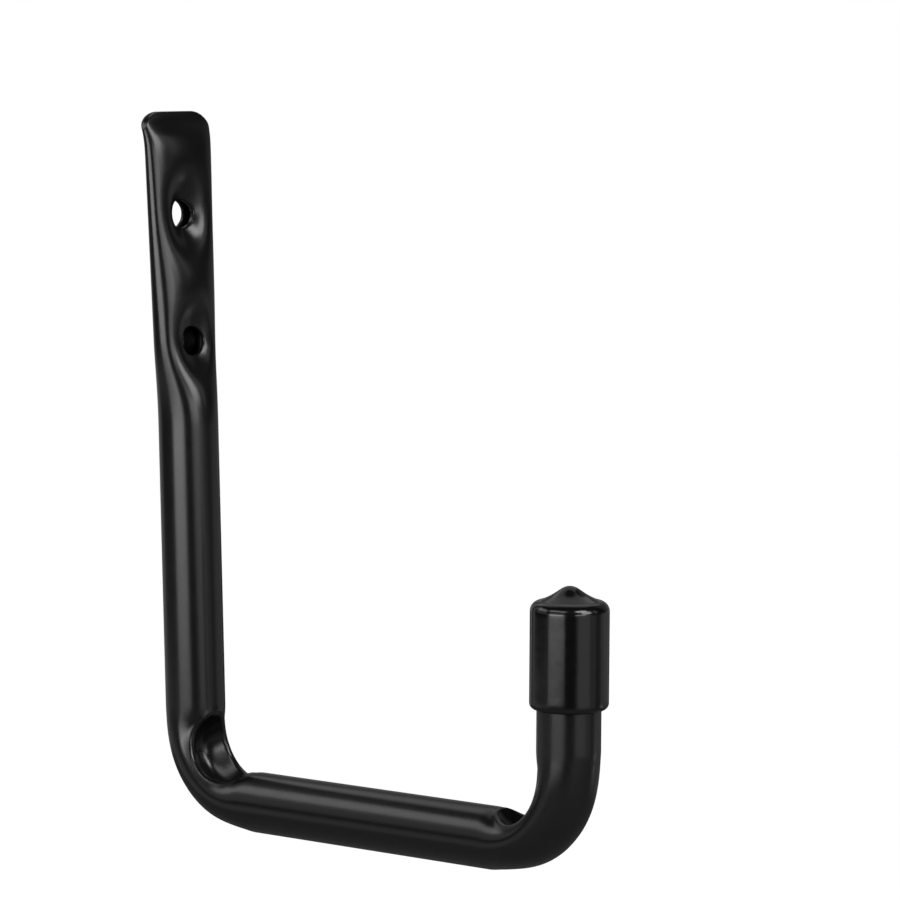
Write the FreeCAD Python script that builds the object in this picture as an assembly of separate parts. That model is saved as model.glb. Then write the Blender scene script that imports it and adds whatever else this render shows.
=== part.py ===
# Garage utility hook: one bent steel tube, pinched and dimpled where it is screwed to
# the wall, crushed on the inside of both bends, with a dipped vinyl cap on its tip.
#
# Millimetres, +Z up. The arm points towards -Y and X is the hook's width.
# The origin is on the leg's centre line, midway between the two screw holes.
import FreeCAD, Part
import math
import os

Vector = FreeCAD.Vector

# Tube
TUBE_OD = 19.0
TUBE_WALL = 1.2

# Centre line of the tube
LEG_LENGTH = 217.2        # from the arm's centre line up to the cut end
REACH = 158.5             # from the leg's centre line to the tip's, level with the arm
TIP_LENGTH = 71.0         # from the arm's centre line to the tip's cut end
TIP_LEAN = 2.0            # degrees that the tip leans out, away from the wall
WALL_BEND_RADIUS = 25.2
TIP_BEND_RADIUS = 26.4

# Screw holes, drilled through both walls of the tube
HOLE_DIAMETER = 9.6
HOLE_SPACING = 40.0
HOLE_TO_END = 32.3

# Pinched end: a wedge pressed into the leg, with a lip pressed flat at the cut end
PINCH_LENGTH = 100.0      # from the cut end to where the leg is round again
RELEASE_LENGTH = 28.0     # last stretch of the pinch, in which the squeeze lets go
PINCH_END_THICKNESS = 3.4
LIP_SQUEEZE = 3.3         # how much thinner the lip is pressed than the wedge
LIP_LENGTH = 6.0          # distance in which the lip opens into the wedge
WEDGE_FALL = 0.103        # how much the wedge thickens for each mm down the leg
REAR_SHARE = 0.36         # share of the wedge's squeeze that the rear wall takes
CORNER_RADIUS = 7.5       # corners of the cut end

# Dimples pressed round the screw holes into the front wall
UPPER_DIMPLE_DEPTH = 7.1
LOWER_DIMPLE_DEPTH = 5.1
DIMPLE_HALF_WIDTH = 7.5
DIMPLE_HALF_LENGTH = 9.5
DIMPLE_GAP = 0.3          # least gap that a dimple leaves between the front and rear walls

# Crushed inside of each bend
CRUSH_DEPTH = 9.0         # depth of the hollow in the middle of the bend's inside
CRUSH_HALF_WIDTH = 5.7    # where the hollow has lost most of its depth
CRUSH_POWER = 3           # steepness of the hollow's sides and ends
CRUSH_OVERRUN = 4.0       # how far the hollow fades out past each end of the bend
FLANK_POWER = 8           # how late the hollow's side dies out on the bend's flank
INNER_FLATTENING = 0.36   # share of its height that the whole inner half loses
CRUSH_BULGE = 0.4         # how far each flank bulges sideways
OUTER_FLATTENING = 0.8    # how far the outer wall sinks on either side of the bend's middle

# Vinyl cap
CAP_WALL = 2.1
CAP_CLEARANCE = 0.05      # round the tube, so that the two never overlap
CAP_SKIRT = 29.5          # length of tube inside the cap
CAP_CROWN = 2.4           # thickness over the tube's end, at the shoulder
CAP_DOME_RISE = 2.3
CAP_SHOULDER_RADIUS = 3.0
CAP_LIP_RADIUS = 1.9
NIPPLE_DIAMETER = 8.4
NIPPLE_HEIGHT = 1.8

# Sampling of the formed surfaces
RING_POINTS = 56
OUTLINE_STEPS = 360
PINCH_RINGS = 44
CRUSH_RINGS = 30
TINY = 1e-6               # how closely a squeezed section's width is found
SEAM = 0.001              # largest gap closed where two stretches of surface meet
PAST = 2.0                # how far a cutting shape runs past what it cuts

RADIUS = TUBE_OD / 2
BORE_RADIUS = RADIUS - TUBE_WALL
BORE, OUTSIDE = 0, 1      # the two surfaces of the tube's wall
TOP = HOLE_SPACING / 2 + HOLE_TO_END
ARM = TOP - LEG_LENGTH
FRONT = Vector(0, -1, 0)
UP = Vector(0, 0, 1)
SIDE = Vector(1, 0, 0)
ARC_MIDDLE = 1 - math.sqrt(0.5)     # how far a quarter arc's middle lies from its box

# Distances along the centre line, counted from the cut end of the leg
WALL_BEND_START = LEG_LENGTH - WALL_BEND_RADIUS
WALL_BEND_END = WALL_BEND_START + WALL_BEND_RADIUS * math.pi / 2
TIP_BEND_TURN = math.radians(90 - TIP_LEAN)
TIP_BEND_REACH = TIP_BEND_RADIUS * math.tan(TIP_BEND_TURN / 2)
TIP_BEND_START = WALL_BEND_END + REACH - WALL_BEND_RADIUS - TIP_BEND_REACH
TIP_BEND_END = TIP_BEND_START + TIP_BEND_RADIUS * TIP_BEND_TURN
TUBE_LENGTH = TIP_BEND_END + TIP_LENGTH - TIP_BEND_REACH


def on_bend(start, direction, inward, radius, turn):
    """Point on a bend after turning from its start, and the direction to its inside there."""
    turned = inward * math.cos(turn) - direction * math.sin(turn)
    return start + (inward - turned) * radius, turned


def centre_line(s):
    """Point on the centre line at distance s, and the direction towards the hook's inside."""
    if s <= WALL_BEND_START:
        return UP * (TOP - s), FRONT
    if s < WALL_BEND_END:
        start = UP * (ARM + WALL_BEND_RADIUS)
        turn = (s - WALL_BEND_START) / WALL_BEND_RADIUS
        return on_bend(start, UP * -1, FRONT, WALL_BEND_RADIUS, turn)
    if s <= TIP_BEND_START:
        return UP * ARM + FRONT * (WALL_BEND_RADIUS + s - WALL_BEND_END), UP
    turn = min((s - TIP_BEND_START) / TIP_BEND_RADIUS, TIP_BEND_TURN)
    start = UP * ARM + FRONT * (REACH - TIP_BEND_REACH)
    point, inward = on_bend(start, FRONT, UP, TIP_BEND_RADIUS, turn)
    onward = FRONT * math.cos(turn) + UP * math.sin(turn)
    return point + onward * max(0.0, s - TIP_BEND_END), inward


def normal_offset(outline, distance):
    """The same open outline moved along its own normals, away from what it goes round."""
    moved = []
    last = len(outline) - 1
    for i, (x, inward) in enumerate(outline):
        before = outline[max(i - 1, 0)]
        after = outline[min(i + 1, last)]
        slope = (after[0] - before[0], after[1] - before[1])
        if i == 0:
            slope = (1.0, 0.0)
        elif i == last:
            slope = (-1.0, 0.0)
        scale = distance / math.hypot(*slope)
        moved.append((x - slope[1] * scale, inward + slope[0] * scale))
    return moved


def distances_along(outline):
    """Distance of each point from the first, along an open line."""
    passed = [0.0]
    for a, b in zip(outline, outline[1:]):
        passed.append(passed[-1] + math.dist(a, b))
    return passed


def evenly_spaced(outline):
    """Points spaced evenly along an open outline, both ends included."""
    passed = distances_along(outline)
    half_ring = RING_POINTS // 2
    points = [outline[0]]
    at = 0
    for i in range(1, half_ring):
        wanted = passed[-1] * i / half_ring
        while passed[at + 1] < wanted:
            at += 1
        share = (wanted - passed[at]) / (passed[at + 1] - passed[at])
        a, b = outline[at], outline[at + 1]
        points.append((a[0] + (b[0] - a[0]) * share, a[1] + (b[1] - a[1]) * share))
    points.append(outline[-1])
    return points


def squeezed_half(half_width, half_depth):
    """Right half of an elliptical outline, from the middle of its front to that of its rear."""
    outline = []
    for i in range(OUTLINE_STEPS + 1):
        turn = math.pi * i / OUTLINE_STEPS
        outline.append((half_width * math.sin(turn), half_depth * math.cos(turn)))
    return outline


def squeeze_at(s):
    """How much thinner than round the wedge and the lip press the tube at distance s."""
    lip = LIP_SQUEEZE * math.exp(-(s / LIP_LENGTH) ** 2)
    wedge = TUBE_OD - PINCH_END_THICKNESS - LIP_SQUEEZE - WEDGE_FALL * s
    left = min(1.0, max(0.0, (PINCH_LENGTH - s) / RELEASE_LENGTH))
    hold = left ** 2 * (3 - 2 * left)
    return wedge * hold, lip * hold


def dimple_at(x, z):
    """Depth of the pressed dimples at one place on the front wall."""
    depth = 0.0
    for height, deepest in (
        (HOLE_SPACING / 2, UPPER_DIMPLE_DEPTH),
        (-HOLE_SPACING / 2, LOWER_DIMPLE_DEPTH),
    ):
        reach = (x / DIMPLE_HALF_WIDTH) ** 2 + ((z - height) / DIMPLE_HALF_LENGTH) ** 2
        depth += deepest * math.exp(-reach)
    return depth


def pinched_half(s):
    """Right half of the pinched end's inside: its girth stays that of the round tube."""
    wedge, lip = squeeze_at(s)
    half_depth = BORE_RADIUS - (wedge + lip) / 2
    narrow = BORE_RADIUS
    wide = BORE_RADIUS * math.pi / 2
    while wide - narrow > TINY:
        half_width = (narrow + wide) / 2
        outline = squeezed_half(half_width, half_depth)
        if distances_along(outline)[-1] < math.pi * BORE_RADIUS:
            narrow = half_width
        else:
            wide = half_width
    widest_line = BORE_RADIUS - REAR_SHARE * wedge - half_depth
    shaped = []
    for x, depth in outline:
        forward = depth - widest_line
        if depth > 0:
            middle = max(0.0, 1 - (x / half_width) ** 2)
            closed = DIMPLE_GAP * middle - widest_line - half_depth * math.sqrt(middle)
            forward = max(closed, forward - middle * dimple_at(x, TOP - s))
        shaped.append((x, forward))
    return shaped


def crush_at(s):
    """How far the inside of the tube is crushed at distance s, from 0 to 1."""
    crush = 0.0
    for start, end in ((WALL_BEND_START, WALL_BEND_END), (TIP_BEND_START, TIP_BEND_END)):
        half = (end - start) / 2 + CRUSH_OVERRUN
        away = abs(s - (start + end) / 2) / half
        if away < 1:
            crush = (1 - away ** CRUSH_POWER) ** 2
    return crush


def crushed_half(s):
    """Right half of a bend's bore, from the middle of its inside to that of its outside."""
    crush = crush_at(s)
    hollow_half_width = CRUSH_HALF_WIDTH * (2 + crush) / 3
    outline = []
    for i in range(OUTLINE_STEPS + 1):
        turn = math.pi * i / OUTLINE_STEPS
        x = BORE_RADIUS * math.sin(turn)
        inward = BORE_RADIUS * math.cos(turn)
        if inward > 0:
            hollow = CRUSH_DEPTH * math.exp(-(x / hollow_half_width) ** CRUSH_POWER)
            hollow *= 1 - math.sin(turn) ** FLANK_POWER
            inward -= crush * (inward * INNER_FLATTENING + hollow)
        else:
            inward += 4 * crush * (1 - crush) * OUTER_FLATTENING * math.cos(turn) ** 2
        bulge = crush * CRUSH_BULGE * math.sin(turn) ** 2
        outline.append((x + bulge, inward))
    return outline


def rings(s):
    """Points round the bore and round the outside of the tube at distance s."""
    bore = pinched_half(s) if s < PINCH_LENGTH else crushed_half(s)
    outside = normal_offset(bore, TUBE_WALL)
    middle, inward = centre_line(s)
    placed = []
    for outline in (bore, outside):
        half = evenly_spaced(outline)
        whole = half + [(-x, y) for x, y in half[-2:0:-1]]
        placed.append([middle + SIDE * x + inward * y for x, y in whole])
    return placed


def skin(ring_points, distances):
    """A smooth closed-round surface through rings of points."""
    around = [i / RING_POINTS for i in range(RING_POINTS + 1)]
    columns = []
    for points in ring_points:
        curve = Part.BSplineCurve()
        curve.interpolate(Points=points, PeriodicFlag=True, Parameters=around)
        columns.append(curve.getPoles())
    poles = []
    for i in range(curve.NbPoles):
        line = Part.BSplineCurve()
        line.interpolate(Points=[column[i] for column in columns], Parameters=distances)
        poles.append(line.getPoles())
    surface = Part.BSplineSurface()
    surface.buildFromPolesMultsKnots(
        poles, curve.getMultiplicities(), line.getMultiplicities(),
        curve.getKnots(), line.getKnots(), True, False, 3, 3,
    )
    return surface.toShape()


def end_edge(face, s):
    """The closed edge of a stretch of wall that lies at distance s."""
    middle = centre_line(s)[0]
    closed = [edge for edge in face.Edges if edge.isClosed()]
    return min(closed, key=lambda edge: edge.CenterOfMass.distanceToPoint(middle))


def tube_wall(surface):
    """One side of the tube's wall from the cut end to the tip, and the edges it ends on."""
    formed = (
        (0.0, PINCH_LENGTH + PAST, PINCH_RINGS),
        (WALL_BEND_START - CRUSH_OVERRUN, WALL_BEND_END + CRUSH_OVERRUN, CRUSH_RINGS),
        (TIP_BEND_START - CRUSH_OVERRUN, TIP_BEND_END + CRUSH_OVERRUN, CRUSH_RINGS),
    )
    run_to = [start for start, end, count in formed[1:]] + [TUBE_LENGTH]
    walls = []
    for (start, end, count), stop in zip(formed, run_to):
        distances = [start + (end - start) * i / (count - 1) for i in range(count)]
        shaped = skin([rings(s)[surface] for s in distances], distances)
        straight = centre_line(stop)[0] - centre_line(end)[0]
        walls += [shaped, end_edge(shaped, end).extrude(straight)]
    return walls, end_edge(walls[0], 0.0), end_edge(walls[-1], TUBE_LENGTH)


def make_hook_tube():
    """The tube, hollow and open at both ends, with its cut corners and screw holes."""
    outside, cut_outer, tip_outer = tube_wall(OUTSIDE)
    bore, cut_inner, tip_inner = tube_wall(BORE)
    ends = [
        Part.makeFace([Part.Wire(outer), Part.Wire(inner)], "Part::FaceMakerBullseye")
        for outer, inner in ((cut_outer, cut_inner), (tip_outer, tip_inner))
    ]
    skins = Part.makeCompound(outside + bore + ends)
    skins.sewShape(SEAM)
    tube = Part.Solid(skins.Shells[0])
    half_width = TUBE_WALL + max(x for x, forward in pinched_half(0.0))
    for side in (-1, 1):
        centre = SIDE * (side * (half_width - CORNER_RADIUS)) + UP * (TOP - CORNER_RADIUS)
        tube = tube.cut(corner_waste(centre, side))
    for height in (-HOLE_SPACING / 2, HOLE_SPACING / 2):
        start = UP * height + FRONT * -TUBE_OD
        tube = tube.cut(Part.makeCylinder(HOLE_DIAMETER / 2, 2 * TUBE_OD, start, FRONT))
    return tube


def corner_waste(centre, side):
    """What is trimmed off one corner of the cut end to round it."""
    size = CORNER_RADIUS + PAST
    block = Part.makeBox(size, 2 * TUBE_OD, size)
    block.translate(Vector(centre.x - (size if side < 0 else 0), -TUBE_OD, centre.z))
    disc = Part.makeCylinder(CORNER_RADIUS, 2 * TUBE_OD, centre - FRONT * TUBE_OD, FRONT)
    return block.cut(disc)


def make_end_cap():
    """The cap, turned about the tip's centre line from its half section."""
    bore = RADIUS + CAP_CLEARANCE
    outside = bore + CAP_WALL
    rim = TIP_LENGTH - CAP_SKIRT
    shoulder = TIP_LENGTH + CAP_CROWN
    inside_top = Vector(0, 0, TIP_LENGTH)
    inside_corner = Vector(bore, 0, TIP_LENGTH)
    inside_rim = Vector(bore, 0, rim)
    lip_low = Vector(outside - CAP_LIP_RADIUS, 0, rim)
    lip_high = Vector(outside, 0, rim + CAP_LIP_RADIUS)
    lip_middle = Vector(outside, 0, rim) + Vector(-1, 0, 1) * (CAP_LIP_RADIUS * ARC_MIDDLE)
    wall_top = Vector(outside, 0, shoulder - CAP_SHOULDER_RADIUS)
    crown_edge = Vector(outside - CAP_SHOULDER_RADIUS, 0, shoulder)
    crown_middle = Vector(outside, 0, shoulder)
    crown_middle -= Vector(1, 0, 1) * (CAP_SHOULDER_RADIUS * ARC_MIDDLE)
    nipple_foot = Vector(NIPPLE_DIAMETER / 2, 0, shoulder + CAP_DOME_RISE)
    apex = Vector(0, 0, nipple_foot.z + NIPPLE_HEIGHT)
    dome = Part.BSplineCurve()
    dome.interpolate(
        Points=[crown_edge, nipple_foot, apex], InitialTangent=SIDE * -1, FinalTangent=SIDE * -1,
    )
    section = Part.Wire([
        Part.makeLine(inside_top, inside_corner),
        Part.makeLine(inside_corner, inside_rim),
        Part.makeLine(inside_rim, lip_low),
        Part.Arc(lip_low, lip_middle, lip_high).toShape(),
        Part.makeLine(lip_high, wall_top),
        Part.Arc(wall_top, crown_middle, crown_edge).toShape(),
        dome.toShape(),
        Part.makeLine(apex, inside_top),
    ])
    cap = Part.Face(section).revolve(Vector(0, 0, 0), UP, 360)
    cap.rotate(Vector(0, 0, 0), SIDE, TIP_LEAN)
    cap.translate(FRONT * REACH + UP * ARM)
    return cap


def main():
    os.makedirs("parts", exist_ok=True)
    for name, make in (("hook_tube", make_hook_tube), ("end_cap", make_end_cap)):
        shape = make()
        print(name, shape.isValid(), len(shape.Solids), round(shape.Volume, 1), shape.BoundBox)
        shape.exportStep("parts/" + name + ".step")


main()
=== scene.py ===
import math

import bmesh
import bpy
import numpy as np
from mathutils import Matrix, Vector


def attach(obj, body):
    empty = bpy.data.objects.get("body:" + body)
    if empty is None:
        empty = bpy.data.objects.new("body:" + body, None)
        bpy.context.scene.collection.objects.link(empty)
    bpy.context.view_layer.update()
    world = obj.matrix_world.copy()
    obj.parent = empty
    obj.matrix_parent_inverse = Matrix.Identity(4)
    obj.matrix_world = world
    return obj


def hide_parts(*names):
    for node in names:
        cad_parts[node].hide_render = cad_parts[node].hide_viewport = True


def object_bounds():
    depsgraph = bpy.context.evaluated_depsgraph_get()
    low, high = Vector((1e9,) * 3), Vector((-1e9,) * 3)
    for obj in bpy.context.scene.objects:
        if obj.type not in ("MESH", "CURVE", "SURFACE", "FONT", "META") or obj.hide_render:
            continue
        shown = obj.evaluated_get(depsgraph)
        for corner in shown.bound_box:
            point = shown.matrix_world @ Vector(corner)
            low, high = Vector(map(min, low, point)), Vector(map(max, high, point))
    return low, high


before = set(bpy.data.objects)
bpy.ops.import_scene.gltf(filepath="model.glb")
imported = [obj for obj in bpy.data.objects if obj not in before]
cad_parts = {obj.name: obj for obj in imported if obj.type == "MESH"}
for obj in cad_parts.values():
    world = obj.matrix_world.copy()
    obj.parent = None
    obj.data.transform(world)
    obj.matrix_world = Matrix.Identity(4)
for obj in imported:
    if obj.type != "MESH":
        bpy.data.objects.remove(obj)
cad_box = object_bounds()

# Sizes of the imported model, in millimetres and degrees, which the fine surfaces below follow. Five were
# read again from the photo after the last pack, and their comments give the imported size.
TUBE_OD = 19.0
TUBE_WALL = 1.2
LEG_LENGTH = 217.2        # from the arm's centre line up to the cut end
REACH = 158.5             # from the leg's centre line to the tip's, level with the arm
TIP_LENGTH = 71.0         # from the arm's centre line to the tip's cut end
TIP_LEAN = 2.0            # degrees that the tip leans out, away from the wall
WALL_BEND_RADIUS = 25.2
TIP_BEND_RADIUS = 26.4
HOLE_DIAMETER = 9.0       # packed as 9.6: the coat has closed it a little
HOLE_SPACING = 40.0
HOLE_TO_END = 32.3
PINCH_LENGTH = 100.0      # from the cut end to where the leg is round again
PINCH_END_THICKNESS = 3.4
RELEASE_LENGTH = 28.0     # last stretch of the pinch, in which the squeeze lets go
LIP_SQUEEZE = 3.3         # how much thinner the lip is pressed than the wedge
LIP_LENGTH = 6.0          # distance in which the lip opens into the wedge
WEDGE_FALL = 0.103        # how much the wedge thickens for each mm down the leg
REAR_SHARE = 0.36         # share of the wedge's squeeze that the rear wall takes
CORNER_RADIUS = 7.5       # corners of the cut end
UPPER_DIMPLE_DEPTH = 6.3  # packed as 7.1
LOWER_DIMPLE_DEPTH = 4.7  # packed as 5.1
DIMPLE_HALF_WIDTH = 7.5
DIMPLE_HALF_LENGTH = 9.5
DIMPLE_GAP = 0.3          # least gap that a dimple leaves between the front and rear walls
CRUSH_DEPTH = 9.0         # depth of the hollow in the middle of the bend's inside
CRUSH_POWER = 3           # how late the crush fades towards the ends of the bend
CRUSH_OVERRUN = 4.0       # how far it fades out past each end of the bend
INNER_FLATTENING = 0.36   # share of its height that the whole inner half loses
CRUSH_BULGE = 0.4         # how far each flank bulges sideways
OUTER_FLATTENING = 0.8    # how far the outer wall sinks on either side of the bend's middle
CAP_WALL = 2.1
CAP_CLEARANCE = 0.05      # round the tube, so that the two never overlap
CAP_SKIRT = 29.5          # length of tube inside the cap
CAP_CROWN = 2.4           # thickness over the tube's end, at the shoulder
CAP_DOME_RISE = 2.0       # packed as 2.3
CAP_SHOULDER_RADIUS = 3.0
CAP_LIP_RADIUS = 1.9
NIPPLE_DIAMETER = 8.4
NIPPLE_HEIGHT = 2.3       # packed as 1.8

# Detail that only the fine surfaces have, in millimetres unless it says otherwise
CRATER_HALF_WIDTH = 7.7   # the crushed hollow's plan is an oval with a crisp lip
CRATER_OVERRUN = 0.5
CRATER_OVAL = 2.2         # power of the oval, 2 for an ellipse
CRATER_WALL = 2.8         # power that gives the hollow steep walls
CRATER_FLOOR = 1.3        # power that rounds its floor
CRATER_LIMIT = 1.2        # size, in ovals, past which nothing of it is left
RIDGE_HEIGHT = 0.35       # the metal thrown up round it
RIDGE_WIDTH = 0.06        # in ovals
WALL_BEND_SHIFT = -1.5    # how far the wall bend's crater sits towards the leg
EDGE_ROUND = 0.4          # coated edges of the screw holes and of the cut end
EDGE_FULLNESS = 0.6       # power that makes the cut end's edge fuller than round
NIPPLE_FULLNESS = 2.3     # power of the nipple's bell shape

# Fineness of the meshes: steps in millimetres, and counts
AROUND = 128              # points round the tube
HALF = AROUND // 2
OUTLINE_STEPS = 480       # steps of the outlines that the rings are taken from
HALVINGS = 24             # tries at the pinched end's width
TABLE_STEP = 0.25
TABLE_POINTS = 240
TRIM_ZONE = 12.0          # the rings turn from the rounded cut to square over this length
TRIM_ROWS = 22
TRIM_TRIES = 6
PINCH_ROW = 0.8
BEND_ROW = 0.5
STRAIGHT_ROWS = 14
TIP_ROWS = 10
PATCH_HALF = 7.4          # half size of the block of mesh that a screw hole replaces
PATCH_RINGS = 11
HOLE_EDGE_STEPS = 3
CUT_EDGE_STEPS = 8
TUBE_SHARP = 38           # degrees at which an edge of the tube or the cap is sharp
CAP_SHARP = 50
CAP_AROUND = 160
CAP_TOP_RINGS = 6
CAP_BORE_RINGS = 10
CAP_LIP_RINGS = 8
CAP_WALL_RINGS = 24
CAP_SHOULDER_RINGS = 12
CAP_DOME_RINGS = 40

# The camera, fitted to the photo: turn, rise and roll in degrees, lengths in millimetres
CAMERA_TURN = 43.54
CAMERA_RISE = 4.91
CAMERA_ROLL = -1.15
CAMERA_FOCUS = 4000.0     # in pixels of the picture
CAMERA_SIDE = -32.14
CAMERA_LIFT = -61.11
CAMERA_DISTANCE = 1227.9
AIM_FORWARD = 68.2        # the place aimed at, in front of the wall bend and above the arm
AIM_LIFT = 51.8
PICTURE = 900             # in pixels
SENSOR = 36
CLIP_END = 20             # in metres

# The studio, in metres
LAMP_DISTANCE = 1.6
LIT_PLACE = np.array([0, -0.08, -0.08])   # the middle of the hook, which the lamps face
FLOOR_DEPTH = 0.52
FLOOR_HALF = 6.0
FLOOR_GREY = (0.2, 0.2, 0.2, 1)
FLOOR_ROUGHNESS = 0.9
WHITE = (1, 1, 1, 1)
ROOM_GLOW = 0.02          # strength of the room in reflections, and of the backdrop behind the hook
BACKDROP_GLOW = 0.22
BACKDROP_EDGES = (0.75, 0.98)   # cosines of the angles to the view between which it fades in

# The lamps: turn to the camera's right, width, low edge and high edge in degrees seen from the hook,
# then radiance. Where lamps overlap, the light between them changes softly.
LAMPS = (
    ("left_strip", -38, 40, -7, 7, 2.6),
    ("left_strip_edge", -38, 50, -7, 7, 0.9),
    ("left_strip_middle", -38, 44, -3, 6, 3.8),
    ("left_strip_top", -38, 44, 7, 24, 0.9),
    ("left_strip_crown", -38, 44, 34, 50, 2.6),
    ("left_strip_foot", -38, 48, -12, -7, 1.6),
    ("right_strip", 31, 28, -0.5, 8, 3.9),
    ("right_strip_middle", 48, 22, 8, 14, 4.8),
    ("right_strip_top", 50, 26, 14, 32, 6.0),
    ("right_strip_crown", 39, 26, 32, 48, 8.0),
    ("right_strip_low", 39, 46, -4.5, -0.5, 0.9),
    ("right_strip_foot", 41, 34, -17, -4.5, 0.45),
    ("right_foot_wide", 48, 60, -36, -4.5, 0.22),
    ("arm_light", -96, 34, 24, 42, 1.9),
    ("arm_fill", -90, 60, -50, -9, 0.35),
    ("arm_fill_top", -90, 40, 2, 24, 0.38),
    ("rim_left", -139, 40, -15, 45, 0.3),
    ("rim_right", 125, 54, -12, 0, 0.08),
    ("right_fill", 92, 66, -12, -3, 0.056),
    ("rim_right_lower", 125, 54, -22, 0, 0.06),
    ("right_fill_lower", 92, 66, -22, -3, 0.042),
    ("rim_right_lowest", 125, 54, -34, 0, 0.06),
    ("right_fill_lowest", 92, 66, -34, -3, 0.042),
    ("rim_right_top", 135, 34, 0, 45, 0.12),
    ("front_glow", 80, 9, 8, 32, 0.8),
    ("front_glow_low", 106, 12, -34, -14, 0.6),
    ("top_glow", 180, 50, 30, 74, 0.5),
)

# Values worked out from those above
RADIUS = TUBE_OD / 2
BORE_RADIUS = RADIUS - TUBE_WALL
TOP = HOLE_SPACING / 2 + HOLE_TO_END
ARM = TOP - LEG_LENGTH
HOLE_HEIGHTS = (HOLE_SPACING / 2, -HOLE_SPACING / 2)
DIMPLES = tuple(zip(HOLE_HEIGHTS, (UPPER_DIMPLE_DEPTH, LOWER_DIMPLE_DEPTH)))
WALL_BEND_START = LEG_LENGTH - WALL_BEND_RADIUS
WALL_BEND_END = WALL_BEND_START + WALL_BEND_RADIUS * math.pi / 2
TIP_BEND_TURN = math.radians(90 - TIP_LEAN)
TIP_BEND_REACH = TIP_BEND_RADIUS * math.tan(TIP_BEND_TURN / 2)
TIP_BEND_START = WALL_BEND_END + REACH - WALL_BEND_RADIUS - TIP_BEND_REACH
TIP_BEND_END = TIP_BEND_START + TIP_BEND_RADIUS * TIP_BEND_TURN
BENDS = (
    (WALL_BEND_START, WALL_BEND_END, WALL_BEND_SHIFT),
    (TIP_BEND_START, TIP_BEND_END, 0.0),
)
TUBE_LENGTH = TIP_BEND_END + TIP_LENGTH - TIP_BEND_REACH
BORE, OUTSIDE = 0, 1
MM = 0.001
FRONT = np.array([0.0, -1.0, 0.0])
UP = np.array([0.0, 0.0, 1.0])
SIDE = np.array([1.0, 0.0, 0.0])
MIRROR = np.array([-1.0, 1.0, 1.0])
TURNS = np.pi * np.arange(OUTLINE_STEPS + 1) / OUTLINE_STEPS


def on_bend(start, direction, inward, radius, turn):
    """The point reached on a bend after a turn, and the direction towards its inside there."""
    turned = inward * math.cos(turn) - direction * math.sin(turn)
    return start + (inward - turned) * radius, turned


def centre_line(s):
    """Point on the centre line at distance s, and the direction towards the hook's inside."""
    if s <= WALL_BEND_START:
        return UP * (TOP - s), FRONT
    if s < WALL_BEND_END:
        start = UP * (ARM + WALL_BEND_RADIUS)
        return on_bend(start, -UP, FRONT, WALL_BEND_RADIUS, (s - WALL_BEND_START) / WALL_BEND_RADIUS)
    if s <= TIP_BEND_START:
        return UP * ARM + FRONT * (WALL_BEND_RADIUS + s - WALL_BEND_END), UP
    turn = min((s - TIP_BEND_START) / TIP_BEND_RADIUS, TIP_BEND_TURN)
    start = UP * ARM + FRONT * (REACH - TIP_BEND_REACH)
    point, inward = on_bend(start, FRONT, UP, TIP_BEND_RADIUS, turn)
    onward = FRONT * math.cos(turn) + UP * math.sin(turn)
    return point + onward * max(0.0, s - TIP_BEND_END), inward


def offset(outline, distance):
    """The same open outline moved along its own normals, away from what it goes round."""
    slope = np.empty_like(outline)
    slope[1:-1] = outline[2:] - outline[:-2]
    slope[0] = (1, 0)
    slope[-1] = (-1, 0)
    slope /= np.linalg.norm(slope, axis=1)[:, None]
    return outline + distance * np.stack([-slope[:, 1], slope[:, 0]], 1)


def evenly(outline, count):
    """Points spaced evenly along an open outline, both ends included."""
    passed = np.concatenate([[0], np.cumsum(np.linalg.norm(np.diff(outline, axis=0), axis=1))])
    wanted = np.linspace(0, passed[-1], count + 1)
    return np.stack([np.interp(wanted, passed, outline[:, i]) for i in (0, 1)], 1)


def squeeze_at(s):
    """How much thinner than round the wedge and the lip press the tube at distance s."""
    lip = LIP_SQUEEZE * math.exp(-(s / LIP_LENGTH) ** 2)
    wedge = TUBE_OD - PINCH_END_THICKNESS - LIP_SQUEEZE - WEDGE_FALL * s
    left = min(1.0, max(0.0, (PINCH_LENGTH - s) / RELEASE_LENGTH))
    hold = left ** 2 * (3 - 2 * left)
    return wedge * hold, lip * hold


def pressed_width(across, along):
    """Half width at which an outline as deep as this has the girth of the round bore."""
    narrow, wide = BORE_RADIUS, BORE_RADIUS * math.pi / 2
    for _ in range(HALVINGS):
        half_width = (narrow + wide) / 2
        girth = np.hypot(np.diff(across) * half_width, np.diff(along)).sum()
        if girth < math.pi * BORE_RADIUS:
            narrow = half_width
        else:
            wide = half_width
    return half_width


def pinched(s):
    """Right half of the pinched end's bore, with the hollows pressed in round the screw holes."""
    wedge, lip = squeeze_at(s)
    half_depth = BORE_RADIUS - (wedge + lip) / 2
    across, along = np.sin(TURNS), half_depth * np.cos(TURNS)
    x = across * pressed_width(across, along)
    widest_line = BORE_RADIUS - REAR_SHARE * wedge - half_depth
    forward = along - widest_line
    middle = np.where(along > 0, np.cos(TURNS) ** 2, 0)
    z = TOP - s
    dimples = sum(
        depth * np.exp(-(x / DIMPLE_HALF_WIDTH) ** 2 - ((z - height) / DIMPLE_HALF_LENGTH) ** 2)
        for height, depth in DIMPLES
    )
    closed = DIMPLE_GAP * middle - widest_line - half_depth * np.sqrt(middle)
    pressed = np.maximum(closed, forward - middle * dimples)
    return np.stack([x, np.where(along > 0, pressed, forward)], 1)


def past_middle(s, start, end, overrun):
    """Distance from the middle of a bend, 1 where it ends with the overrun added."""
    return abs(s - (start + end) / 2) / ((end - start) / 2 + overrun)


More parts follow.
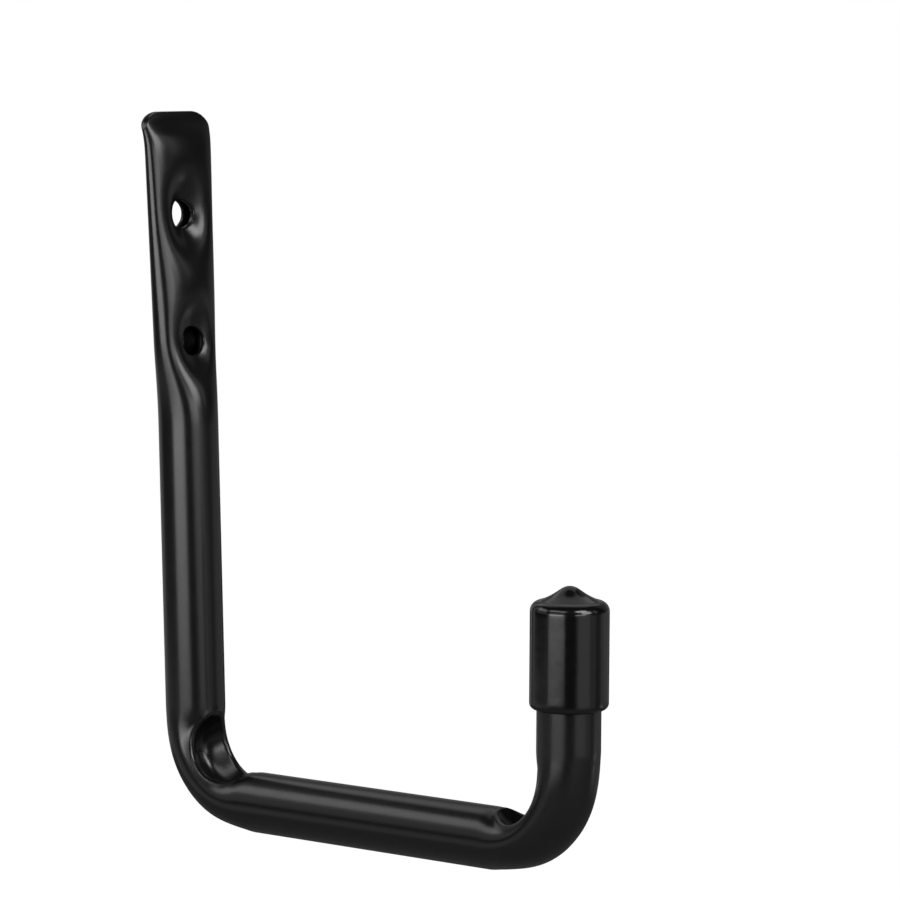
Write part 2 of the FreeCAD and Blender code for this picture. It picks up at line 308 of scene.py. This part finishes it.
def crush_at(s):
    """How fully a bend is crushed at distance s, from 0 to 1."""
    for start, end, _ in BENDS:
        away = past_middle(s, start, end, CRUSH_OVERRUN)
        if away < 1:
            return (1 - away ** CRUSH_POWER) ** 2
    return 0.0


def crater_at(s, x):
    """Depth of the crushed hollow on the inside of a bend, at places x across it."""
    for start, end, shift in BENDS:
        along = past_middle(s - shift, start, end, CRATER_OVERRUN)
        if along < CRATER_LIMIT:
            across = np.abs(x) / CRATER_HALF_WIDTH
            oval = (across ** CRATER_OVAL + along ** CRATER_OVAL) ** (1 / CRATER_OVAL)
            ridge = RIDGE_HEIGHT * np.exp(-((oval - 1) / RIDGE_WIDTH) ** 2)
            return CRUSH_DEPTH * (1 - np.minimum(oval, 1) ** CRATER_WALL) ** CRATER_FLOOR - ridge
    return 0 * x


def crushed(s):
    """Right half of a bend's bore, from the middle of its inside to that of its outside."""
    crush = crush_at(s)
    x = BORE_RADIUS * np.sin(TURNS)
    inward = BORE_RADIUS * np.cos(TURNS)
    inside = inward * (1 - crush * INNER_FLATTENING) - crater_at(s, x)
    outside = inward + 4 * crush * (1 - crush) * OUTER_FLATTENING * np.cos(TURNS) ** 2
    x = x + crush * CRUSH_BULGE * np.sin(TURNS) ** 2
    return np.stack([x, np.where(inward > 0, inside, outside)], 1)


def half_outlines(s):
    """Right halves of the bore's and the outside's outline at distance s, finely divided."""
    bore = pinched(s) if s < PINCH_LENGTH else crushed(s)
    return bore, offset(bore, TUBE_WALL)


class Table:
    """The pinched end's outlines at close steps, read anywhere between them."""

    def __init__(self):
        self.count = int(PINCH_LENGTH / TABLE_STEP)
        pairs = [half_outlines(i * TABLE_STEP) for i in range(self.count)]
        self.rows = [
            np.array([evenly(pair[side], TABLE_POINTS) for pair in pairs])
            for side in (BORE, OUTSIDE)
        ]

    def outline(self, side, s):
        """The outline at distance s, on a smooth curve through the four rows nearest to it."""
        at = min(max(s / TABLE_STEP, 0.0), self.count - 1)
        i = min(int(at), self.count - 2)
        t = at - i
        rows = self.rows[side]
        a, b, c, d = (rows[min(max(k, 0), self.count - 1)] for k in (i - 1, i, i + 1, i + 2))
        return b + 0.5 * t * (c - a + t * (2 * a - 5 * b + 4 * c - d + t * (3 * (b - c) + d - a)))

    def at_share(self, side, s, share):
        """The point that lies a share of the way along a half outline: across and forward."""
        row = self.outline(side, s)
        at = share * (len(row) - 1)
        return np.array([np.interp(at, np.arange(len(row)), row[:, i]) for i in (0, 1)])

    def forward(self, side, s, x, rear):
        """How far forward the front or rear wall lies at one place."""
        row = self.outline(side, s)
        widest = int(np.argmax(row[:, 0]))
        part = row[widest:][::-1] if rear else row[:widest + 1]
        return float(np.interp(abs(x), part[:, 0], part[:, 1]))


class Mesh:
    """Points and faces gathered ring by ring, in millimetres."""

    def __init__(self):
        self.points = []
        self.faces = []

    def add(self, points):
        """Adds points and gives their numbers, in the same arrangement."""
        points = np.asarray(points, float)
        first = sum(len(p) for p in self.points)
        flat = points.reshape(-1, 3)
        self.points.append(flat)
        return first + np.arange(len(flat)).reshape(points.shape[:-1])

    def face(self, *corners):
        self.faces.append(tuple(int(corner) for corner in corners))

    def band(self, a, b):
        """Quads between two closed rings of the same length."""
        for i in range(len(a)):
            j = (i + 1) % len(a)
            self.face(a[i], a[j], b[j], b[i])

    def build(self, name, sharp):
        """Makes the object, without the points that no face uses."""
        points = np.concatenate(self.points)
        used = sorted({i for face in self.faces for i in face})
        number = {old: new for new, old in enumerate(used)}
        faces = [tuple(number[i] for i in face) for face in self.faces]
        mesh = bpy.data.meshes.new(name)
        mesh.from_pydata([tuple(p) for p in points[used] * MM], [], faces)
        work = bmesh.new()
        work.from_mesh(mesh)
        bmesh.ops.recalc_face_normals(work, faces=work.faces)
        work.to_mesh(mesh)
        work.free()
        mesh.shade_smooth()
        mesh.set_sharp_from_angle(angle=math.radians(sharp))
        return link_new(name, mesh)


def link_new(name, data):
    piece = bpy.data.objects.new(name, data)
    bpy.context.scene.collection.objects.link(piece)
    return piece


def leg_point(x, forward, s):
    return np.array([x, -forward, TOP - s])


def cut_at(x, half_width):
    """Distance from the end at which the rounded corners cut the tube, at one place across it."""
    past = max(0.0, abs(x) - (half_width - CORNER_RADIUS))
    return CORNER_RADIUS - math.sqrt(max(0.0, CORNER_RADIUS ** 2 - past ** 2))


def trimmed_point(table, side, half_width, share, part):
    """A point of the trimmed end: on the rounded cut at part 0, on the first square ring at part 1."""
    inset = EDGE_ROUND if side == OUTSIDE else EDGE_ROUND / 2
    s = TRIM_ZONE * part
    for _ in range(TRIM_TRIES):
        x = table.at_share(side, s, share)[0]
        cut = cut_at(x, half_width) + inset
        s = cut + (TRIM_ZONE - cut) * part
    x, forward = table.at_share(side, s, share)
    return leg_point(x, forward, s)


def tube_rows():
    """Distances of the rings along the tube past the trimmed end, closest in the bends."""
    rows = list(np.arange(TRIM_ZONE, PINCH_LENGTH, PINCH_ROW))
    for start, end, _ in BENDS:
        low, high = start - CRUSH_OVERRUN, end + CRUSH_OVERRUN
        rows += list(np.linspace(rows[-1], low, STRAIGHT_ROWS)[1:-1])
        rows += list(np.linspace(low, high, int((high - low) / BEND_ROW)))
    rows += list(np.linspace(rows[-1], TUBE_LENGTH, TIP_ROWS)[1:])
    return rows


def tube_grid(table, side):
    """Rings of points along one surface of the tube, from the trimmed end to the tip."""
    half_width = float(table.outline(OUTSIDE, 0)[:, 0].max())
    shares = np.arange(HALF + 1) / HALF
    rows = tube_rows()
    grid = np.zeros((TRIM_ROWS + len(rows), AROUND, 3))
    for k in range(TRIM_ROWS):
        for j, share in enumerate(shares):
            point = trimmed_point(table, side, half_width, share, k / TRIM_ROWS)
            grid[k, j] = point
            grid[k, -j % AROUND] = point * MIRROR
    for k, s in enumerate(rows, TRIM_ROWS):
        if s < PINCH_LENGTH - TABLE_STEP:
            half = np.array([table.at_share(side, s, share) for share in shares])
        else:
            half = evenly(half_outlines(s)[side], HALF)
        point, inward = centre_line(s)
        ring = np.concatenate([half, half[-2:0:-1] * (-1, 1)])
        grid[k] = point + ring[:, :1] * SIDE + ring[:, 1:] * inward
    return grid


def make_tube():
    """The hollow tube, its two surfaces joined at both ends and through the screw holes."""
    table = Table()
    mesh = Mesh()
    grids = [tube_grid(table, side) for side in (BORE, OUTSIDE)]
    numbers = [mesh.add(grid) for grid in grids]
    left_out = set()
    for height in HOLE_HEIGHTS:
        for rear in (False, True):
            left_out |= screw_hole(mesh, table, grids, numbers, height, rear)
    for ids in numbers:
        for k in range(len(ids) - 1):
            for j in range(AROUND):
                n = (j + 1) % AROUND
                if (k, j) not in left_out:
                    mesh.face(ids[k, j], ids[k + 1, j], ids[k + 1, n], ids[k, n])
    round_end(mesh, grids, numbers)
    mesh.band(numbers[BORE][-1], numbers[OUTSIDE][-1])
    return mesh.build("hook_tube_formed", TUBE_SHARP)


def hole_block(outer, height, rear):
    """Rows and columns of the block of the grids that a screw hole replaces."""
    column = HALF if rear else 0
    rows = np.flatnonzero(np.abs(outer[:, column, 2] - height) < PATCH_HALF)
    middle = (rows[0] + rows[-1]) // 2
    reach = 1
    while abs(outer[middle, (column + reach) % AROUND, 0]) < PATCH_HALF:
        reach += 1
    columns = [(column + j) % AROUND for j in range(-reach, reach + 1)]
    return list(rows), columns


def border_of(rows, columns):
    """The places along the border of a block, once round it."""
    border = [(rows[0], j) for j in columns]
    border += [(k, columns[-1]) for k in rows[1:]]
    border += [(rows[-1], j) for j in columns[-2::-1]]
    border += [(k, columns[0]) for k in rows[-2:0:-1]]
    return border


def screw_hole(mesh, table, grids, numbers, height, rear):
    """Replaces a block of both grids by rings round the hole, and joins them through the wall."""
    rows, columns = hole_block(grids[OUTSIDE], height, rear)
    border = border_of(rows, columns)
    edge = np.array([grids[OUTSIDE][place] for place in border])
    angles = np.arctan2(edge[:, 2] - height, edge[:, 0])
    round_way = np.stack([np.cos(angles), np.sin(angles)], 1)
    into_wall = 1 if rear else -1

    def add_ring(last, side, flat, sunk=0.0):
        """Joins the last ring to one at places given across and up from the middle of the hole."""
        points = []
        for x, z in flat:
            s = TOP - z - height
            points.append(leg_point(x, table.forward(side, s, x, rear) + into_wall * sunk, s))
        ids = mesh.add(points)
        mesh.band(last, ids)
        return ids

    rims = []
    for side in (OUTSIDE, BORE):
        radius = HOLE_DIAMETER / 2 + (EDGE_ROUND if side == OUTSIDE else 0)
        block = np.array([grids[side][place] for place in border])[:, [0, 2]] - (0, height)
        last = np.array([numbers[side][place] for place in border])
        for ring in range(1, PATCH_RINGS + 1):
            part = ring / PATCH_RINGS
            last = add_ring(last, side, block * (1 - part) + round_way * radius * part)
        if side == OUTSIDE:
            for step in range(1, HOLE_EDGE_STEPS + 1):
                turn = math.pi / 2 * step / HOLE_EDGE_STEPS
                flat = round_way * (radius - EDGE_ROUND * math.sin(turn))
                last = add_ring(last, side, flat, EDGE_ROUND * (1 - math.cos(turn)))
        rims.append(last)
    mesh.band(*rims)
    return {(k, j) for k in rows[:-1] for j in columns[:-1]}


def round_end(mesh, grids, numbers):
    """The coated cut edge at the top, from the outside over to the bore."""
    outer, inner = grids[OUTSIDE][0], grids[BORE][0]
    up = outer - grids[OUTSIDE][1]
    up /= np.linalg.norm(up, axis=1)[:, None]
    across = (inner - outer) / 2
    middle = (inner + outer) / 2
    last = numbers[OUTSIDE][0]
    for step in range(1, CUT_EDGE_STEPS):
        turn = math.pi * step / CUT_EDGE_STEPS
        over = math.copysign(abs(math.cos(turn)) ** EDGE_FULLNESS, math.cos(turn))
        rise = EDGE_ROUND * math.sin(turn) ** EDGE_FULLNESS
        ids = mesh.add(middle - across * over + up * rise)
        mesh.band(last, ids)
        last = ids
    mesh.band(last, numbers[BORE][0])


def quarter(centre, radius, first, count):
    """Points of a quarter circle, anticlockwise from the angle first, both ends included."""
    turns = first + np.linspace(0, math.pi / 2, count + 1)
    return np.array(centre) + radius * np.stack([np.cos(turns), np.sin(turns)], 1)


def dome(radius, edge):
    """Height of the cap's dome and nipple above its shoulder, at a radius."""
    nipple = NIPPLE_HEIGHT * math.exp(-(radius / (NIPPLE_DIAMETER / 2)) ** NIPPLE_FULLNESS)
    return CAP_DOME_RISE * (1 - (radius / edge) ** 2) + nipple


def cap_profile():
    """Half section of the cap, from the middle of its inside round to the apex: radius and height."""
    bore = RADIUS + CAP_CLEARANCE
    outside = bore + CAP_WALL
    rim = TIP_LENGTH - CAP_SKIRT
    shoulder = TIP_LENGTH + CAP_CROWN
    lip_middle = outside - CAP_LIP_RADIUS
    edge = outside - CAP_SHOULDER_RADIUS
    low, high = rim + CAP_LIP_RADIUS, shoulder - CAP_SHOULDER_RADIUS
    domed = edge * (1 - np.arange(1, CAP_DOME_RINGS) / CAP_DOME_RINGS)
    profile = np.concatenate([
        np.linspace((0, TIP_LENGTH), (bore, TIP_LENGTH), CAP_TOP_RINGS + 1)[1:],
        np.linspace((bore, TIP_LENGTH), (bore, rim), CAP_BORE_RINGS + 1)[1:],
        [((bore + lip_middle) / 2, rim)],
        quarter((lip_middle, low), CAP_LIP_RADIUS, -math.pi / 2, CAP_LIP_RINGS),
        np.linspace((outside, low), (outside, high), CAP_WALL_RINGS + 1)[1:],
        quarter((edge, high), CAP_SHOULDER_RADIUS, 0, CAP_SHOULDER_RINGS)[1:],
        [(radius, shoulder + dome(radius, edge)) for radius in domed],
    ])
    return profile, shoulder + dome(0.0, edge)


def make_cap():
    """The dipped cap, turned about the tip's axis and leaning with it."""
    profile, apex = cap_profile()
    angles = 2 * np.pi * np.arange(CAP_AROUND) / CAP_AROUND
    round_way = np.stack([np.cos(angles), np.sin(angles), np.zeros(CAP_AROUND)], 1)
    grid = np.array([radius * round_way + height * UP for radius, height in profile])
    ends = np.array([TIP_LENGTH * UP, apex * UP])
    lean = math.radians(TIP_LEAN)
    turn = np.array([[1, 0, 0], [0, math.cos(lean), -math.sin(lean)], [0, math.sin(lean), math.cos(lean)]])
    corner = FRONT * REACH + UP * ARM
    mesh = Mesh()
    rings = mesh.add(grid @ turn.T + corner)
    tips = mesh.add(ends @ turn.T + corner)
    for a, b in zip(rings, rings[1:]):
        mesh.band(a, b)
    for i in range(CAP_AROUND):
        j = (i + 1) % CAP_AROUND
        mesh.face(tips[0], rings[0][i], rings[0][j])
        mesh.face(tips[1], rings[-1][j], rings[-1][i])
    return mesh.build("end_cap_dipped", CAP_SHARP)


def node(tree, kind, **values):
    """Adds a node: values named in_ something go to its inputs, the others are its settings."""
    made = tree.nodes.new(kind)
    for name, value in values.items():
        if name.startswith("in_"):
            made.inputs[name[3:].replace("_", " ")].default_value = value
        else:
            setattr(made, name, value)
    return made


class Finish:
    """A material with noise in its roughness and bump, placed by the object's own coordinates."""

    def __init__(self, name, colour):
        self.material = bpy.data.materials.new(name)
        self.material.use_nodes = True
        self.tree = self.material.node_tree
        self.shader = self.tree.nodes["Principled BSDF"]
        self.shader.inputs["Base Color"].default_value = (*colour, 1)
        self.place = node(self.tree, "ShaderNodeTexCoord")
        self.last_bump = None

    def noise(self, **values):
        texture = node(self.tree, "ShaderNodeTexNoise", **values)
        self.tree.links.new(self.place.outputs["Object"], texture.inputs["Vector"])
        return texture.outputs["Fac"]

    def roughness(self, texture, low, high):
        spread = node(self.tree, "ShaderNodeMapRange", in_To_Min=low, in_To_Max=high)
        self.tree.links.new(texture, spread.inputs["Value"])
        self.tree.links.new(spread.outputs["Result"], self.shader.inputs["Roughness"])

    def bump(self, texture, strength, distance):
        """Adds a bump on top of the one before it. The distance is in metres."""
        bump = node(self.tree, "ShaderNodeBump", in_Strength=strength, in_Distance=distance)
        self.tree.links.new(texture, bump.inputs["Height"])
        if self.last_bump:
            self.tree.links.new(self.last_bump.outputs["Normal"], bump.inputs["Normal"])
        self.tree.links.new(bump.outputs["Normal"], self.shader.inputs["Normal"])
        self.last_bump = bump


def powder_coat():
    """Satin black powder coat: fine orange peel over a slight unevenness."""
    finish = Finish("powder_coat_black", (0.005, 0.005, 0.0052))
    peel = finish.noise(in_Scale=1500.0, in_Detail=3.0, in_Roughness=0.55)
    soft = finish.noise(in_Scale=180.0, in_Detail=2.0)
    finish.roughness(soft, 0.20, 0.27)
    finish.bump(soft, 0.06, 0.0004)
    finish.bump(peel, 0.12, 0.0001)
    return finish.material


def vinyl():
    """Glossy dipped vinyl: a smooth skin with slow waves in it."""
    finish = Finish("vinyl_black", (0.003, 0.003, 0.0032))
    wave = finish.noise(in_Scale=140.0, in_Detail=2.0)
    grime = finish.noise(in_Scale=420.0, in_Detail=4.0)
    finish.roughness(grime, 0.12, 0.20)
    finish.bump(wave, 0.10, 0.0006)
    return finish.material


def make_camera():
    """The camera that took the photo. Gives the direction from the hook back to it."""
    turn, rise, roll = (math.radians(angle) for angle in (CAMERA_TURN, CAMERA_RISE, CAMERA_ROLL))
    ahead = np.array([math.cos(turn), math.sin(turn), 0.0])
    back = math.sin(rise) * UP - math.cos(rise) * ahead
    level = np.cross(UP, back)
    level /= np.linalg.norm(level)
    upright = np.cross(back, level)
    right = math.cos(roll) * level + math.sin(roll) * upright
    up = math.cos(roll) * upright - math.sin(roll) * level
    aim = FRONT * AIM_FORWARD + UP * (ARM + AIM_LIFT)
    place = aim + CAMERA_DISTANCE * back - CAMERA_SIDE * right - CAMERA_LIFT * up
    data = bpy.data.cameras.new("camera")
    data.sensor_width = SENSOR
    data.lens = CAMERA_FOCUS / PICTURE * SENSOR
    data.clip_end = CLIP_END
    camera = link_new("camera", data)
    matrix = np.eye(4)
    matrix[:3] = np.stack([right, up, back, place * MM], 1)
    camera.matrix_world = Matrix(matrix.tolist())
    bpy.context.scene.camera = camera
    return back


def softbox(name, turn, spread, low, high, radiance, back):
    """A rectangular lamp that faces the hook, unseen by the camera."""
    flat = np.array([back[0], back[1], 0])
    flat /= np.linalg.norm(flat)
    across = np.cross(UP, flat)
    a, e = math.radians(turn), math.radians((low + high) / 2)
    way = (math.cos(a) * flat + math.sin(a) * across) * math.cos(e) + UP * math.sin(e)
    lamp = bpy.data.lights.new(name, "AREA")
    lamp.shape = "RECTANGLE"
    lamp.size = 2 * LAMP_DISTANCE * math.tan(math.radians(spread / 2))
    lamp.size_y = 2 * LAMP_DISTANCE * math.tan(math.radians((high - low) / 2))
    lamp.energy = radiance * math.pi * lamp.size * lamp.size_y
    piece = link_new(name, lamp)
    piece.location = LIT_PLACE + way * LAMP_DISTANCE
    piece.rotation_euler = Vector(way).to_track_quat("Z", "Y").to_euler()
    piece.visible_camera = False


def make_world(back):
    """White to the camera. Reflections see a soft glow behind the hook and a dim room elsewhere."""
    world = bpy.data.worlds.new("studio")
    bpy.context.scene.world = world
    world.use_nodes = True
    tree = world.node_tree
    light = tree.nodes["Background"]
    light.inputs["Color"].default_value = WHITE
    place = node(tree, "ShaderNodeTexCoord")
    facing = node(tree, "ShaderNodeVectorMath", operation="DOT_PRODUCT")
    facing.inputs[1].default_value = tuple(-back)
    behind = node(
        tree, "ShaderNodeMapRange", interpolation_type="SMOOTHSTEP",
        in_From_Min=BACKDROP_EDGES[0], in_From_Max=BACKDROP_EDGES[1],
        in_To_Min=ROOM_GLOW, in_To_Max=BACKDROP_GLOW,
    )
    rays = node(tree, "ShaderNodeLightPath")
    seen = node(tree, "ShaderNodeMix", data_type="FLOAT", in_B=1.0)
    tree.links.new(place.outputs["Generated"], facing.inputs[0])
    tree.links.new(facing.outputs["Value"], behind.inputs["Value"])
    tree.links.new(behind.outputs["Result"], seen.inputs["A"])
    tree.links.new(rays.outputs["Is Camera Ray"], seen.inputs["Factor"])
    tree.links.new(seen.outputs["Result"], light.inputs["Strength"])


def make_floor():
    """A grey floor far below the hook, white to the camera."""
    low = float(cad_box[0][2]) - FLOOR_DEPTH
    corners = ((-1, -1), (1, -1), (1, 1), (-1, 1))
    mesh = bpy.data.meshes.new("floor")
    mesh.from_pydata([(x * FLOOR_HALF, y * FLOOR_HALF, low) for x, y in corners], [], [(0, 1, 2, 3)])
    floor = link_new("floor", mesh)
    material = bpy.data.materials.new("grey_floor")
    material.use_nodes = True
    tree = material.node_tree
    shader = tree.nodes["Principled BSDF"]
    shader.inputs["Base Color"].default_value = FLOOR_GREY
    shader.inputs["Roughness"].default_value = FLOOR_ROUGHNESS
    shader.inputs["Emission Color"].default_value = WHITE
    rays = node(tree, "ShaderNodeLightPath")
    tree.links.new(rays.outputs["Is Camera Ray"], shader.inputs["Emission Strength"])
    mesh.materials.append(material)


def studio():
    """The camera, the white surroundings and the lamps."""
    bpy.context.scene.view_settings.view_transform = "Standard"
    back = make_camera()
    make_world(back)
    make_floor()
    for lamp in LAMPS:
        softbox(*lamp, back)


def main():
    for piece, name, slot, material in (
        (make_tube(), "hook_tube", "powder_coat", powder_coat()),
        (make_cap(), "end_cap", "vinyl", vinyl()),
    ):
        piece.data.materials.append(material)
        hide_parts(name)
        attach(piece, "root")
        for slot_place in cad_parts[name].material_slots:
            slot_place.material = material
    studio()


main()
